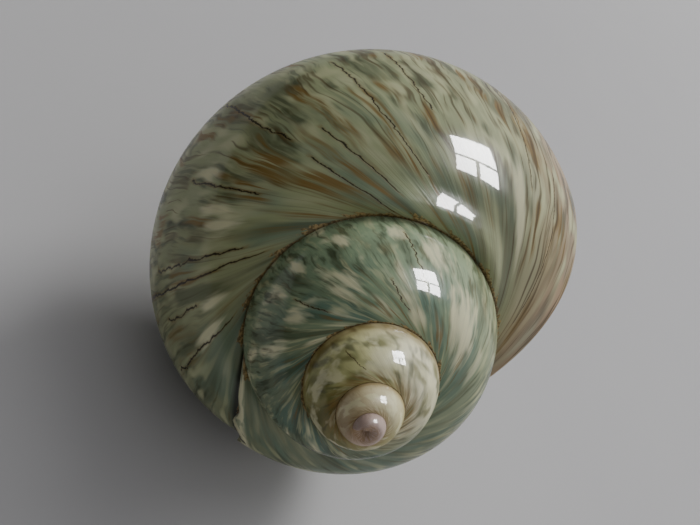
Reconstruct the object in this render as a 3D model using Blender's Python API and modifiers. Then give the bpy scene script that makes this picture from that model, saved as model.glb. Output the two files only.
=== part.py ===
"""A polished turban shell, modelled as the one hollow, coiled piece that it grew as.

The shell is a tube wound round an axis. It only ever grew at its lip, and the lip kept its shape,
so every ring of the tube is a former lip: turned back by some growth angle and shrunk to match.
The shell's own frame has its tip at the origin and its axis along Z, with the base below. The
finished shell is then turned to lie as it rests, on the corner of its lip and its last whorl.
"""
import math

import bmesh
import bpy
from mathutils import Matrix, Vector

# Driving dimensions, in metres and degrees, measured at the lip
WHORL_GROWTH = 2.13          # sizes grow by this factor in one turn
TUBE_RADIUS = 0.02227        # half the width of the newest ring
TUBE_SQUASH = 0.967          # height of a ring over its width
TUBE_TILT = -43.5            # turn of the ring in its own plane
LOBE = 0.061                 # the ring bulges three ways by this share of its radius
LOBE_TILT = 5.8              # where the first bulge is, round the ring
COIL_RADIUS = 0.01832        # axis to the middle of the newest ring
COIL_DROP = 0.04721          # tip down to the middle of the newest ring
AXIS_GAP = 0.0020            # the ring is flattened where it would come nearer the axis than this
AXIS_SOFTNESS = 0.0015       # how gently it flattens
TURNS = 4.4                  # turns from the tip to the lip
LIP_LEAN = 82.8              # the lip's plane is turned this far from straight across the tube
LIP_FACING = 103.7           # which way it then faces: 90 is out from the axis, 180 is down
LIP_LAG_LIMIT = 64.0         # no place on the lip lags the suture by more than this growth angle
LIP_OPEN = 203.0             # the lip's edge is in its plane this far round from the suture
LIP_REACH = 8.0              # past that, its edge turns in to this growth angle, at the pillar
LIP_TURN_IN = 14.0           # and gets there in this many degrees round the ring
WALL = 0.0024                # wall thickness inside
LIP_WALL = 0.0012            # and at the lip's edge
LIP_TAPER = 30.0             # the wall thickens over this growth angle behind the lip
HOLLOW_DEPTH = 205.0         # how far behind the lip the tube is open
CORE_SPREAD = 13.0           # half-angle of the solid core that the whorls wind round
CORE_TOP = 0.0024            # the core starts this far below the tip
CORE_DEPTH = 0.0385          # tip down to its foot
CORE_FOOT = 0.0080           # the foot is rounded over this length
PILLAR_TOP = (0.0, 0.0, -0.0285)         # the pillar beside the mouth leans from under the older whorls
PILLAR_BASE = (0.0066, 0.0004, -0.0655)  # to the base of the lip
PILLAR_RADIUS = 0.0090       # its radius at the top
PILLAR_WAIST = 0.0050        # and where it meets the lip
PILLAR_FOOT = 0.0050         # its foot is rounded over this length
TIP_RADIUS = 0.0010          # the first, ball-shaped bit of shell
SCAR_ANGLE = -215.0          # growth angle of a healed break, from the lip
SCAR_STEP = 0.0010           # the older shell stands this much proud of the newer
SCAR_FADE = 60.0             # the newer shell swells back to full size over this angle
SCAR_RAG = 1.6               # how far the broken edge wanders, in degrees
SCAR_TUCK = 20.0             # the newer shell starts this far inside the older

# How the shell lies at rest, in degrees: spun about its own axis, leaned over, then headed round
SPIN = -95.08
LEAN = -60.23
HEADING = 109.06

# How finely the surface is cut into faces
RING_POINTS = 36
RING_STEP = 11.0
TIP_RING_STEP = 18.0
TIP_TURNS = 2.2
HOLLOW_POINTS = 26
HOLLOW_STEP = 11.0
TURNED_POINTS = 16
TURNED_SIDES = 24
TIP_SEGMENTS = 16
TIP_RINGS = 10
MOUTH_REACH = 14.0           # the cutter runs this growth angle past the lip

GROWTH_RATE = math.log(WHORL_GROWTH) / math.tau


def growth(angle):
    """Size at a growth angle in radians, as a share of the size at the lip."""
    return math.exp(GROWTH_RATE * angle)


def eased(share):
    """Runs from 0 to 1 as a share does, with soft ends."""
    held = min(1.0, max(0.0, share))
    return held * held * (3.0 - 2.0 * held)


def ring_point(around, inset=0.0):
    """Radius from the axis and height of a place on the newest ring, in the axis's half-plane."""
    lobe = 1.0 + LOBE * math.cos(3.0 * (around - math.radians(LOBE_TILT)))
    across = (TUBE_RADIUS * lobe - inset) * math.cos(around)
    along = (TUBE_RADIUS * TUBE_SQUASH * lobe - inset) * math.sin(around)
    turn = math.radians(TUBE_TILT)
    radius = COIL_RADIUS + across * math.cos(turn) - along * math.sin(turn)
    height = -COIL_DROP + across * math.sin(turn) + along * math.cos(turn)
    gap = AXIS_GAP + inset
    middle, half = (radius + gap) / 2.0, (radius - gap) / 2.0
    return middle + math.hypot(half, AXIS_SOFTNESS), height


def tube_point(angle, around, inset=0.0):
    """A place on the tube's skin. The tube winds clockwise as seen from the tip."""
    size = growth(angle)
    radius, height = ring_point(around, inset / size)
    return Vector((size * radius * math.cos(angle), -size * radius * math.sin(angle), size * height))


def halve(function, low, high):
    """Where a function changes sign between two values."""
    start = function(low) > 0.0
    for _ in range(40):
        middle = (low + high) / 2.0
        if (function(middle) > 0.0) == start:
            low = middle
        else:
            high = middle
    return (low + high) / 2.0


def outside_previous(around):
    """Positive where the newest ring is clear of the ring one turn older."""
    radius, height = ring_point(around)
    x = radius * WHORL_GROWTH - COIL_RADIUS
    y = height * WHORL_GROWTH + COIL_DROP
    turn = math.radians(TUBE_TILT)
    across = (x * math.cos(turn) + y * math.sin(turn)) / TUBE_RADIUS
    along = (y * math.cos(turn) - x * math.sin(turn)) / (TUBE_RADIUS * TUBE_SQUASH)
    lobe = 1.0 + LOBE * math.cos(3.0 * (math.atan2(along, across) - math.radians(LOBE_TILT)))
    return math.hypot(across, along) - lobe


def lip_normal():
    """The way the mouth faces."""
    lean, facing = math.radians(LIP_LEAN), math.radians(LIP_FACING)
    onward = Vector((0.0, -1.0, 0.0))
    sideways = Vector((math.sin(facing), 0.0, math.cos(facing)))
    return onward * math.cos(lean) + sideways * math.sin(lean)


SUTURE = halve(outside_previous, math.radians(60.0), math.radians(160.0))
MOUTH_NORMAL = lip_normal()
MOUTH_CORNER = tube_point(0.0, SUTURE)


def lip_lag(around):
    """Growth angle of the lip's edge round the ring: none at the suture, and behind it elsewhere.

    Down to where the lip nears the axis, its edge lies in the mouth's plane. There it turns in
    round the pillar. The rest of the ring is buried in the older shell, and the angle fades away.
    """
    down = (SUTURE - around) % math.tau
    seen = math.radians(LIP_OPEN)
    place = SUTURE - min(down, seen)

    def ahead(angle):
        return (tube_point(angle, place) - MOUTH_CORNER).dot(MOUTH_NORMAL)

    if down == 0.0:
        return 0.0
    edge = halve(ahead, math.radians(-LIP_LAG_LIMIT), 0.0)
    if down <= seen:
        return edge
    turned_in = eased((down - seen) / math.radians(LIP_TURN_IN))
    buried = (down - seen) / (math.tau - seen)
    return (edge + (math.radians(LIP_REACH) - edge) * turned_in) * (1.0 - buried) ** 2


def rag(around):
    """How far the broken edge strays from a growth ring, as a growth angle."""
    waves = math.sin(9.0 * around) + 0.7 * math.sin(16.0 * around + 1.0)
    return math.radians(SCAR_RAG) * waves


def scar_inset(angle):
    """How far the skin lies below full size at a growth angle in degrees, newer than the scar."""
    healed = min(1.0, max(0.0, (angle - SCAR_ANGLE) / SCAR_FADE))
    return SCAR_STEP * (1.0 - healed) ** 2


def wall(angle):
    """Wall thickness at a growth angle in degrees: thin at the lip and thicker behind it."""
    return LIP_WALL + (WALL - LIP_WALL) * min(1.0, max(0.0, -angle) / LIP_TAPER)


def ring(angle, points, inset=0.0, wander=None):
    """One former lip, at a growth angle in degrees: points round the tube from the suture on."""
    made = []
    for index in range(points):
        around = SUTURE - math.tau * index / points
        stray = wander(around) if wander else 0.0
        made.append(tube_point(math.radians(angle) + lip_lag(around) + stray, around, inset))
    return made


def angles_between(first, last, step):
    """Evenly spaced angles, ends included, in degrees."""
    count = max(1, round((last - first) / step))
    return [first + (last - first) * index / count for index in range(count + 1)]


def older_rings():
    """The rings of the shell up to the scar, the last one ragged."""
    tip_end = -360.0 * TIP_TURNS
    angles = angles_between(-360.0 * TURNS, tip_end, TIP_RING_STEP)[:-1]
    angles += angles_between(tip_end, SCAR_ANGLE, RING_STEP)[:-1]
    return [ring(angle, RING_POINTS) for angle in angles] + [ring(SCAR_ANGLE, RING_POINTS, wander=rag)]


def newer_rings():
    """The rings of the shell that grew after the scar, which starts inside the older shell."""
    angles = angles_between(SCAR_ANGLE - SCAR_TUCK, 0.0, RING_STEP)
    return [ring(angle, RING_POINTS, scar_inset(angle)) for angle in angles]


def hollow_rings():
    """The rings of the space inside the tube, from its deep end out past the lip."""
    angles = angles_between(-HOLLOW_DEPTH, MOUTH_REACH, HOLLOW_STEP)
    return [ring(angle, HOLLOW_POINTS, wall(angle) + scar_inset(angle)) for angle in angles]


def loft(name, rings, collection):
    """A closed solid through a run of rings, with a lid on each end."""
    shape = bmesh.new()
    loops = [[shape.verts.new(point) for point in points] for points in rings]
    for older, newer in zip(loops, loops[1:]):
        for index, vert in enumerate(older):
            after = (index + 1) % len(older)
            shape.faces.new((vert, older[after], newer[after], newer[index]))
    for loop in (loops[0], loops[-1]):
        middle = shape.verts.new(sum((vert.co for vert in loop), Vector()) / len(loop))
        for index, vert in enumerate(loop):
            shape.faces.new((vert, loop[(index + 1) % len(loop)], middle))
    bmesh.ops.recalc_face_normals(shape, faces=shape.faces)
    mesh = bpy.data.meshes.new(name)
    shape.to_mesh(mesh)
    shape.free()
    solid = bpy.data.objects.new(name, mesh)
    collection.objects.link(solid)
    return solid


def collection_named(name):
    """A new collection in the scene."""
    made = bpy.data.collections.new(name)
    bpy.context.scene.collection.children.link(made)
    return made


def as_helper(helper):
    """Marks an object as a cutter or guide, which isn't part of the shell."""
    helper.hide_render = True
    helper.display_type = "WIRE"
    return helper


def boolean(target, name, operation, operand, own=False):
    """Adds an exact Boolean to an object."""
    step = target.modifiers.new(name, "BOOLEAN")
    step.operation = operation
    step.object = operand
    step.solver = "EXACT"
    step.use_self = own
    return step


def glossy_shell():
    """The shell's polished, green and brown surface."""
    material = bpy.data.materials.new("polished_shell")
    material.use_nodes = True
    shader = material.node_tree.nodes["Principled BSDF"]
    shader.inputs["Base Color"].default_value = (0.16, 0.20, 0.13, 1.0)
    shader.inputs["Roughness"].default_value = 0.12
    shader.inputs["Metallic"].default_value = 0.0
    return material


def blunted(share):
    """Rounds off the last of a turned shape, as a share of its rounded foot from 0 to 1."""
    return math.sqrt(max(0.0, 1.0 - max(0.0, share) ** 2))


def core_radius(depth):
    """Radius of the core at a depth below the tip."""
    cone = depth * math.tan(math.radians(CORE_SPREAD))
    return cone * blunted((depth - CORE_DEPTH + CORE_FOOT) / CORE_FOOT)


def pillar_radius(depth, length):
    """Radius of the pillar at a depth below its own top."""
    narrowed = eased(depth / (length - PILLAR_FOOT))
    full = PILLAR_RADIUS + (PILLAR_WAIST - PILLAR_RADIUS) * narrowed
    return full * blunted((depth - length + PILLAR_FOOT) / PILLAR_FOOT)


def turned(name, profile, collection):
    """A solid turned from a run of radii and depths, closed at both ends."""
    mesh = bpy.data.meshes.new(name)
    shape = bmesh.new()
    line = [shape.verts.new((0.0, 0.0, -profile[0][1]))]
    line += [shape.verts.new((radius, 0.0, -depth)) for radius, depth in profile]
    for upper, lower in zip(line, line[1:]):
        shape.edges.new((upper, lower))
    shape.to_mesh(mesh)
    shape.free()
    solid = bpy.data.objects.new(name, mesh)
    collection.objects.link(solid)
    screw = solid.modifiers.new("turn", "SCREW")
    screw.steps = screw.render_steps = TURNED_SIDES
    screw.use_merge_vertices = True
    screw.merge_threshold = 0.00001
    return solid


def turned_depths(top, bottom):
    """Depths down a turned shape, closer together towards its rounded foot."""
    shares = [math.sin(math.pi / 2.0 * index / TURNED_POINTS) for index in range(TURNED_POINTS + 1)]
    return [top + (bottom - top) * share for share in shares]


def make_core(collection):
    """The core on the axis, which fills the middle of the older whorls."""
    profile = [(core_radius(depth), depth) for depth in turned_depths(CORE_TOP, CORE_DEPTH)]
    return turned("core", profile, collection)


def make_pillar(collection):
    """The pillar beside the mouth."""
    top, base = Vector(PILLAR_TOP), Vector(PILLAR_BASE)
    length = (base - top).length
    profile = [(pillar_radius(depth, length), depth) for depth in turned_depths(0.0, length)]
    pillar = turned("pillar", profile, collection)
    pillar.location = top
    pillar.rotation_euler = (top - base).to_track_quat("Z", "Y").to_euler()
    return pillar


def make_tip(collection):
    """The ball that the tube starts from."""
    depth = COIL_DROP * growth(-math.tau * TURNS)
    bpy.ops.mesh.primitive_uv_sphere_add(
        segments=TIP_SEGMENTS, ring_count=TIP_RINGS, radius=TIP_RADIUS, location=(0.0, 0.0, -depth)
    )
    return take(bpy.context.object, "tip_ball", collection)


def take(thing, name, collection):
    """Names a fresh primitive and moves it to a collection."""
    thing.name = name
    for owner in list(thing.users_collection):
        owner.objects.unlink(thing)
    collection.objects.link(thing)
    return thing


def lay_down(shell, helpers, collection):
    """Turns everything to how the shell rests, with its lowest place on the floor and centred."""
    rest = bpy.data.objects.new("rest", None)
    collection.objects.link(rest)
    for thing in [shell] + helpers:
        thing.parent = rest
    turn = Matrix.Rotation(math.radians(HEADING), 3, "Z") @ Matrix.Rotation(math.radians(LEAN), 3, "Y")
    rest.rotation_euler = (turn @ Matrix.Rotation(math.radians(SPIN), 3, "Z")).to_euler()
    bpy.context.view_layer.update()
    seen = shell.evaluated_get(bpy.context.evaluated_depsgraph_get())
    places = [seen.matrix_world @ vert.co for vert in seen.data.vertices]
    lowest, highest = ([edge(place[axis] for place in places) for axis in range(3)] for edge in (min, max))
    rest.location = [-(lowest[0] + highest[0]) / 2.0, -(lowest[1] + highest[1]) / 2.0, -lowest[2]]


def build():
    """Makes the shell."""
    for old in list(bpy.data.objects):
        bpy.data.objects.remove(old, do_unlink=True)
    shell_parts = collection_named("polished_turban_shell")
    cutters = collection_named("cutters")

    shell = loft("turban_shell", older_rings(), shell_parts)
    shell.data.materials.append(glossy_shell())

    tip = as_helper(make_tip(cutters))
    core = as_helper(make_core(cutters))
    pillar = as_helper(make_pillar(cutters))
    newer = as_helper(loft("newer_shell", newer_rings(), cutters))
    hollow = as_helper(loft("hollow", hollow_rings(), cutters))
    boolean(newer, "open the mouth", "DIFFERENCE", hollow)

    boolean(shell, "join whorls and tip", "UNION", tip, own=True)
    boolean(shell, "join core", "UNION", core)
    boolean(shell, "join newer shell", "UNION", newer)
    boolean(shell, "join pillar", "UNION", pillar)
    lay_down(shell, [tip, core, pillar, newer, hollow], shell_parts)


build()
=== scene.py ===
# %% [markdown]
# # A polished turban shell
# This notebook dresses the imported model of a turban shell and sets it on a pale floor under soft
# light. A snail shell only ever grows at its lip, and the lip keeps its shape, so the whole form
# follows one rule: every ring of the tube is a former lip, turned back round the axis and shrunk.
# The steps are the lip, the winding, the pillar in the mouth, the finishes, and the studio.

# %% Load the frame
import math

import bmesh
import bpy
from mathutils import Matrix, Vector


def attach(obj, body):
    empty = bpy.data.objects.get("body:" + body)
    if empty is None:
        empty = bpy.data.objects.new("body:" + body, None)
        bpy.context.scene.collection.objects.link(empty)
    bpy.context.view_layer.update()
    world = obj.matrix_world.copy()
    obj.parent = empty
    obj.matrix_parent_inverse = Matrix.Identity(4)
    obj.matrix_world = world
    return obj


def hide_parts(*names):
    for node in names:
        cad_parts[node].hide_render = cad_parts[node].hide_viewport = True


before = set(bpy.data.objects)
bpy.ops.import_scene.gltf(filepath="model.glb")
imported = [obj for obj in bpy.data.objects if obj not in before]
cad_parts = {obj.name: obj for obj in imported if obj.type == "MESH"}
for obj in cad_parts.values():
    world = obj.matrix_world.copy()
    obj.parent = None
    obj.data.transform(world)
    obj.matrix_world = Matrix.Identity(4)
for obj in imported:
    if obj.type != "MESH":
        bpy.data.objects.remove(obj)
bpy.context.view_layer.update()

# %% [markdown]
# ## The sizes
# These are the driving dimensions of the shell, in metres and degrees, as they are at the lip.
# Growth angles are counted from the lip, so they are negative everywhere else: one turn back is
# -360. Places round the ring are counted in degrees down from the suture, the line where a whorl
# meets the one before.

# %% Driving dimensions
WHORL_GROWTH = 2.13          # sizes grow by this factor in one turn
TUBE_RADIUS = 0.02227        # half the width of the newest ring
TUBE_SQUASH = 0.967          # height of a ring over its width
TUBE_TILT = -43.5            # turn of the ring in its own plane
LOBE = 0.061                 # the ring bulges three ways by this share of its radius
LOBE_TILT = 5.8              # where the first bulge is, round the ring
COIL_RADIUS = 0.01832        # axis to the middle of the newest ring
COIL_DROP = 0.04721          # tip down to the middle of the newest ring
AXIS_GAP = 0.0020            # the ring is flattened where it would come nearer the axis than this
AXIS_SOFTNESS = 0.0015       # how gently it flattens
TURNS = 4.4                  # turns from the tip to the lip
SUTURE = math.radians(131.588)   # where the newest ring leaves the ring one turn older
SEAM_DOWN = -60.0            # each ring starts here, deep inside the older shell

LIP_LEAN = 82.8              # the lip's plane is turned this far from straight across the tube
LIP_FACING = 103.7           # which way it then faces: 90 is out from the axis, 180 is down
LIP_LAG_LIMIT = 64.0         # no place on the lip lags the suture by more than this growth angle
LIP_OPEN = 203.0             # the lip's edge is in its plane this far round from the suture
LIP_REACH = 8.0              # past that, its edge turns in to this growth angle, at the pillar
LIP_TURN_IN = 14.0           # and gets there in this many degrees round the ring

WALL = 0.0024                # wall thickness inside
LIP_WALL = 0.0012            # and at the lip's edge
LIP_TAPER = 30.0             # the wall thickens over this growth angle behind the lip
HOLLOW_DEPTH = 205.0         # how far behind the lip the tube is open
SCAR_ANGLE = -215.0          # growth angle of a healed break
SCAR_STEP = 0.0010           # the older shell stands this much proud of the newer
SCAR_FADE = 60.0             # the newer shell swells back to full size over this angle
SCAR_RAG = 1.3               # how far the broken edge wanders, in degrees
SCAR_TUCK = 20.0             # the newer shell starts this far inside the older
WELT = 0.0012                # height of a low swelling beside the suture
WELT_REACH = 14.0            # how far down it reaches, in degrees
WELT_FROM, WELT_TO = -100.0, -55.0   # and the growth angles that it runs between

GROWTH_RATE = math.log(WHORL_GROWTH) / math.tau
print("size one turn back:", round(math.exp(-GROWTH_RATE * math.tau), 3))

# %% [markdown]
# ## The lip
# The lip is the only outline that has to be drawn. It is close to a circle, flattened a little and
# bulging three ways, and it doesn't grow straight across the tube: its edge lies in the plane of
# the mouth. So each place on it lags the suture by some growth angle, which is found by halving.

# %% Shape of the lip
def eased(share):
    """Runs from 0 to 1 as a share does, with soft ends."""
    held = min(1.0, max(0.0, share))
    return held * held * (3.0 - 2.0 * held)


def ring_point(around):
    """Radius from the axis and height of a place on the newest ring."""
    lobe = 1.0 + LOBE * math.cos(3.0 * (around - math.radians(LOBE_TILT)))
    across = TUBE_RADIUS * lobe * math.cos(around)
    along = TUBE_RADIUS * TUBE_SQUASH * lobe * math.sin(around)
    turn = math.radians(TUBE_TILT)
    radius = COIL_RADIUS + across * math.cos(turn) - along * math.sin(turn)
    height = -COIL_DROP + across * math.sin(turn) + along * math.cos(turn)
    middle, half = (radius + AXIS_GAP) / 2.0, (radius - AXIS_GAP) / 2.0
    return middle + math.hypot(half, AXIS_SOFTNESS), height


def tube_point(angle, around):
    """A place on the tube's skin at a growth angle in radians, the tip at the origin."""
    size = math.exp(GROWTH_RATE * angle)
    radius, height = ring_point(around)
    return Vector((size * radius * math.cos(angle), -size * radius * math.sin(angle), size * height))


def inward(angle, around):
    """The direction from a place on the ring to its middle."""
    turned = around + math.radians(TUBE_TILT)
    level = math.cos(turned)
    return -Vector((level * math.cos(angle), -level * math.sin(angle), math.sin(turned)))


lean, facing = math.radians(LIP_LEAN), math.radians(LIP_FACING)
MOUTH_NORMAL = Vector((math.sin(lean) * math.sin(facing), -math.cos(lean),
                       math.sin(lean) * math.cos(facing)))
MOUTH_CORNER = tube_point(0.0, SUTURE)
print("the mouth faces", [round(value, 2) for value in MOUTH_NORMAL])

# %% How far the lip lags the suture
HALVINGS = 40


def halve(function, low, high):
    """Where a function changes sign between two values."""
    start = function(low) > 0.0
    for _ in range(HALVINGS):
        middle = (low + high) / 2.0
        low, high = (middle, high) if (function(middle) > 0.0) == start else (low, middle)
    return (low + high) / 2.0


def lip_lag(down):
    """Growth angle of the lip's edge, in radians, some degrees down from the suture."""
    down %= 360.0
    place = SUTURE - math.radians(min(down, LIP_OPEN))
    if down == 0.0:
        return 0.0

    def ahead(angle):
        return (tube_point(angle, place) - MOUTH_CORNER).dot(MOUTH_NORMAL)

    edge = halve(ahead, math.radians(-LIP_LAG_LIMIT), 0.0)
    past = max(0.0, down - LIP_OPEN)
    turned_in = eased(past / LIP_TURN_IN)
    return (edge + (math.radians(LIP_REACH) - edge) * turned_in) * (1.0 - past / (360.0 - LIP_OPEN)) ** 2


print("the lip lags by", [round(math.degrees(lip_lag(down))) for down in range(0, 360, 40)])

# %% [markdown]
# ## Handing the lip to the nodes
# Geometry Nodes can't run Python, but they can read a mesh. So the lip becomes a ring of loose
# points, and each carries two attributes: how far down from the suture it is, and which way is in.

# %% The lip as a mesh that the nodes can read
COLUMNS = 150                # places round the ring


def make_lip():
    """One ring of points, each with how far down it is and which way is in."""
    downs = [SEAM_DOWN + 360.0 * column / COLUMNS for column in range(COLUMNS + 1)]
    places = [SUTURE - math.radians(down) for down in downs]
    lags = [lip_lag(down) for down in downs]
    mesh = bpy.data.meshes.new("lip")
    mesh.from_pydata([tube_point(lag, place) for lag, place in zip(lags, places)], [], [])
    ways = mesh.attributes.new("inward", "FLOAT_VECTOR", "POINT")
    for index, (lag, place) in enumerate(zip(lags, places)):
        ways.data[index].vector = inward(lag, place)
    depths = mesh.attributes.new("down", "FLOAT", "POINT")
    for index, down in enumerate(downs):
        depths.data[index].value = down
    lip = bpy.data.objects.new("lip", mesh)
    bpy.context.scene.collection.objects.link(lip)
    return lip


lip = make_lip()
lip_middle = sum((vert.co for vert in lip.data.vertices), Vector()) / len(lip.data.vertices)
print("lip:", len(lip.data.vertices), "points, middle at mm",
      [round(1000 * value, 1) for value in lip_middle])

# %% [markdown]
# ## Winding the shell with Geometry Nodes
# A main form that follows a rule is the best use of Geometry Nodes. A flat grid has one column for
# each place round the ring and one row for each step of growth. Its points are then moved: each
# reads its column's place on the lip, shrinks it by the growth rule and turns it round the axis.
# The same moves make the outer skin, the lip's rounded edge and the inner skin, so one function
# lays the nodes for any sheet. A small class keeps the lines that place nodes short.

# %% A bench for laying out nodes
class Bench:
    """A node tree, with short ways to place nodes in it."""

    def __init__(self, tree):
        self.tree = tree

    def feed(self, socket, value):
        """Links a socket, or sets its own value."""
        if isinstance(value, bpy.types.NodeSocket):
            self.tree.links.new(value, socket)
        elif value is not None:
            socket.default_value = value

    def node(self, kind, *values, **settings):
        """Places a node with its settings, and feeds its inputs in order."""
        made = self.tree.nodes.new(kind)
        for name, setting in settings.items():
            setattr(made, name, setting)
        open_inputs = [socket for socket in made.inputs if socket.enabled]
        for socket, value in zip(open_inputs, values):
            self.feed(socket, value)
        return made

    def out(self, node, name=None):
        """The named output that is in use, or the first."""
        for socket in node.outputs:
            if socket.enabled and (name is None or socket.name == name):
                return socket

    def open_input(self, node, name):
        """The named input that is in use."""
        return next(socket for socket in node.inputs if socket.enabled and socket.name == name)

    def attribute(self, name, kind):
        """A named attribute's value."""
        return self.out(self.node("GeometryNodeInputNamedAttribute", name, data_type=kind), "Attribute")

    def math(self, operation, *values):
        """A Math node's result."""
        made = self.tree.nodes.new("ShaderNodeMath")
        made.operation = operation
        for socket, value in zip(made.inputs, values):
            self.feed(socket, value)
        return made.outputs[0]

    def vector(self, operation, *values):
        """A Vector Math node's result; SCALE takes a vector and a number."""
        made = self.tree.nodes.new("ShaderNodeVectorMath")
        made.operation = operation
        places = [made.inputs[0], made.inputs["Scale"]] if operation == "SCALE" else made.inputs
        for socket, value in zip(places, values):
            self.feed(socket, value)
        return made.outputs[0]

    def band(self, value, low, high):
        """0 below low and 1 above high, with soft ends; low may be the larger."""
        made = self.tree.nodes.new("ShaderNodeMapRange")
        made.interpolation_type = "SMOOTHSTEP"
        for socket, given in zip(made.inputs, (value, low, high)):
            self.feed(socket, given)
        return made.outputs[0]


print("bench ready")

# %% One sheet of the tube
def sheet(bench, size, rows, angle_of, inset_of=None, gather_of=None):
    """Lays the nodes that wind one sheet. The functions take a row's share, or its angle."""
    grid = bench.node("GeometryNodeMeshGrid", 1.0, 1.0, COLUMNS + 1, rows + 1)
    index = bench.out(bench.node("GeometryNodeInputIndex"))
    column = bench.math("FLOOR", bench.math("DIVIDE", bench.math("ADD", index, 0.5), rows + 1.0))
    row = bench.math("SUBTRACT", index, bench.math("MULTIPLY", column, rows + 1.0))
    share = bench.math("DIVIDE", row, float(rows))
    points = size["Lip points"]

    def from_lip(kind, value):
        asked = bench.node("GeometryNodeSampleIndex", data_type=kind, domain="POINT")
        for name, fed in (("Geometry", points), ("Value", value), ("Index", column)):
            bench.feed(bench.open_input(asked, name), fed)
        return bench.out(asked)

    inwards = from_lip("FLOAT_VECTOR", bench.attribute("inward", "FLOAT_VECTOR"))
    down = from_lip("FLOAT", bench.attribute("down", "FLOAT"))
    angle, wander = angle_of(share, down)
    place = from_lip("FLOAT_VECTOR", bench.out(bench.node("GeometryNodeInputPosition")))
    if gather_of:
        middle = size["Lip middle"]
        away = bench.vector("SUBTRACT", place, middle)
        place = bench.vector("ADD", middle, bench.vector("SCALE", away, gather_of(share)))
    turned = bench.math("ADD", angle, wander) if wander is not None else angle
    turns = bench.math("DIVIDE", turned, 360.0)
    scale = bench.math("POWER", size["Growth per turn"], turns)
    spot = bench.vector("SCALE", place, scale)
    if inset_of:
        inset = bench.vector("SCALE", inwards, inset_of(share, angle, down))
        spot = bench.vector("ADD", spot, inset)
    turn = bench.node("ShaderNodeVectorRotate", rotation_type="Z_AXIS")
    bench.feed(turn.inputs["Vector"], spot)
    bench.feed(turn.inputs["Angle"], bench.math("MULTIPLY", turns, -math.tau))
    moved = bench.node("GeometryNodeSetPosition")
    bench.feed(moved.inputs["Geometry"], bench.out(grid, "Mesh"))
    bench.feed(moved.inputs["Position"], turn.outputs[0])
    shape = moved.outputs[0]
    for name, value in (("growth", angle), ("down", down)):
        kept = bench.node("GeometryNodeStoreNamedAttribute", shape, data_type="FLOAT", domain="POINT")
        bench.feed(kept.inputs["Name"], name)
        bench.feed(bench.open_input(kept, "Value"), value)
        shape = kept.outputs[0]
    return shape


print("each sheet has", COLUMNS, "columns")

# %% The tree's inputs
tree = bpy.data.node_groups.new("wind_a_shell", "GeometryNodeTree")
tree.is_modifier = True
SIZES = (
    ("Lip", "NodeSocketObject", None),
    ("Lip middle", "NodeSocketVector", tuple(lip_middle)),
    ("Growth per turn", "NodeSocketFloat", WHORL_GROWTH),
    ("Oldest angle", "NodeSocketFloat", -360.0 * TURNS),
    ("Scar angle", "NodeSocketFloat", SCAR_ANGLE),
    ("Scar step", "NodeSocketFloat", SCAR_STEP),
    ("Wall", "NodeSocketFloat", WALL),
    ("Lip wall", "NodeSocketFloat", LIP_WALL),
    ("Hollow depth", "NodeSocketFloat", HOLLOW_DEPTH),
    ("Welt", "NodeSocketFloat", WELT),
    ("Shell finish", "NodeSocketMaterial", None),
    ("Mouth finish", "NodeSocketMaterial", None),
)
tree.interface.new_socket("Geometry", in_out="INPUT", socket_type="NodeSocketGeometry")
sockets = {}
for name, kind, value in SIZES:
    sockets[name] = tree.interface.new_socket(name, in_out="INPUT", socket_type=kind)
    if value is not None:
        sockets[name].default_value = value
tree.interface.new_socket("Geometry", in_out="OUTPUT", socket_type="NodeSocketGeometry")
print("tree inputs:", ", ".join(sockets))

# %% [markdown]
# ## Rules, written as nodes
# A rule is a small function that places Math nodes and returns the socket with the result. The
# sheets below share these rules: the ragged edge of the healed break, how far the newer shell
# lies below the older just past it, and how thick the wall is.

# %% Rules for the break and the wall
bench = Bench(tree)
entry = tree.nodes.new("NodeGroupInput")
size = {name: entry.outputs[name] for name in sockets}
lip_info = bench.node("GeometryNodeObjectInfo")
bench.feed(lip_info.inputs["Object"], size["Lip"])
size["Lip points"] = lip_info.outputs["Geometry"]

BROAD_JAGS, FINE_JAGS = 17.0, 30.0      # jags of the broken edge in one turn round the ring
BROAD_START, FINE_START = 9.0 * SUTURE, 16.0 * SUTURE + 1.0      # and where their waves start
FINE_SHARE = 0.7                        # height of the fine jags over the broad ones


def from_to(first, last, share):
    """A value that runs from first to last."""
    return bench.math("ADD", first, bench.math("MULTIPLY", bench.math("SUBTRACT", last, first), share))


def left_of(share):
    """What a share leaves of 1."""
    return bench.math("SUBTRACT", 1.0, share)


def rising(share):
    """Runs from 0 to 1 as the sine of a quarter turn."""
    return bench.math("SINE", bench.math("MULTIPLY", share, math.pi / 2.0))


def falling(share):
    """Runs from 1 to 0 as the cosine of a quarter turn."""
    return bench.math("COSINE", bench.math("MULTIPLY", share, math.pi / 2.0))


def rag(down):
    """How far the broken edge strays from a growth line, in degrees."""
    around = bench.math("MULTIPLY", down, -math.pi / 180.0)
    broad = bench.math("SINE", bench.math("MULTIPLY_ADD", around, BROAD_JAGS, BROAD_START))
    fine = bench.math("SINE", bench.math("MULTIPLY_ADD", around, FINE_JAGS, FINE_START))
    return bench.math("MULTIPLY", bench.math("MULTIPLY_ADD", fine, FINE_SHARE, broad), SCAR_RAG)


def scar_inset(angle):
    """How far the newer shell lies below full size."""
    past = bench.math("DIVIDE", bench.math("SUBTRACT", angle, size["Scar angle"]), SCAR_FADE)
    unhealed = left_of(bench.math("MINIMUM", bench.math("MAXIMUM", past, 0.0), 1.0))
    return bench.math("MULTIPLY", bench.math("MULTIPLY", unhealed, unhealed), size["Scar step"])


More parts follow.
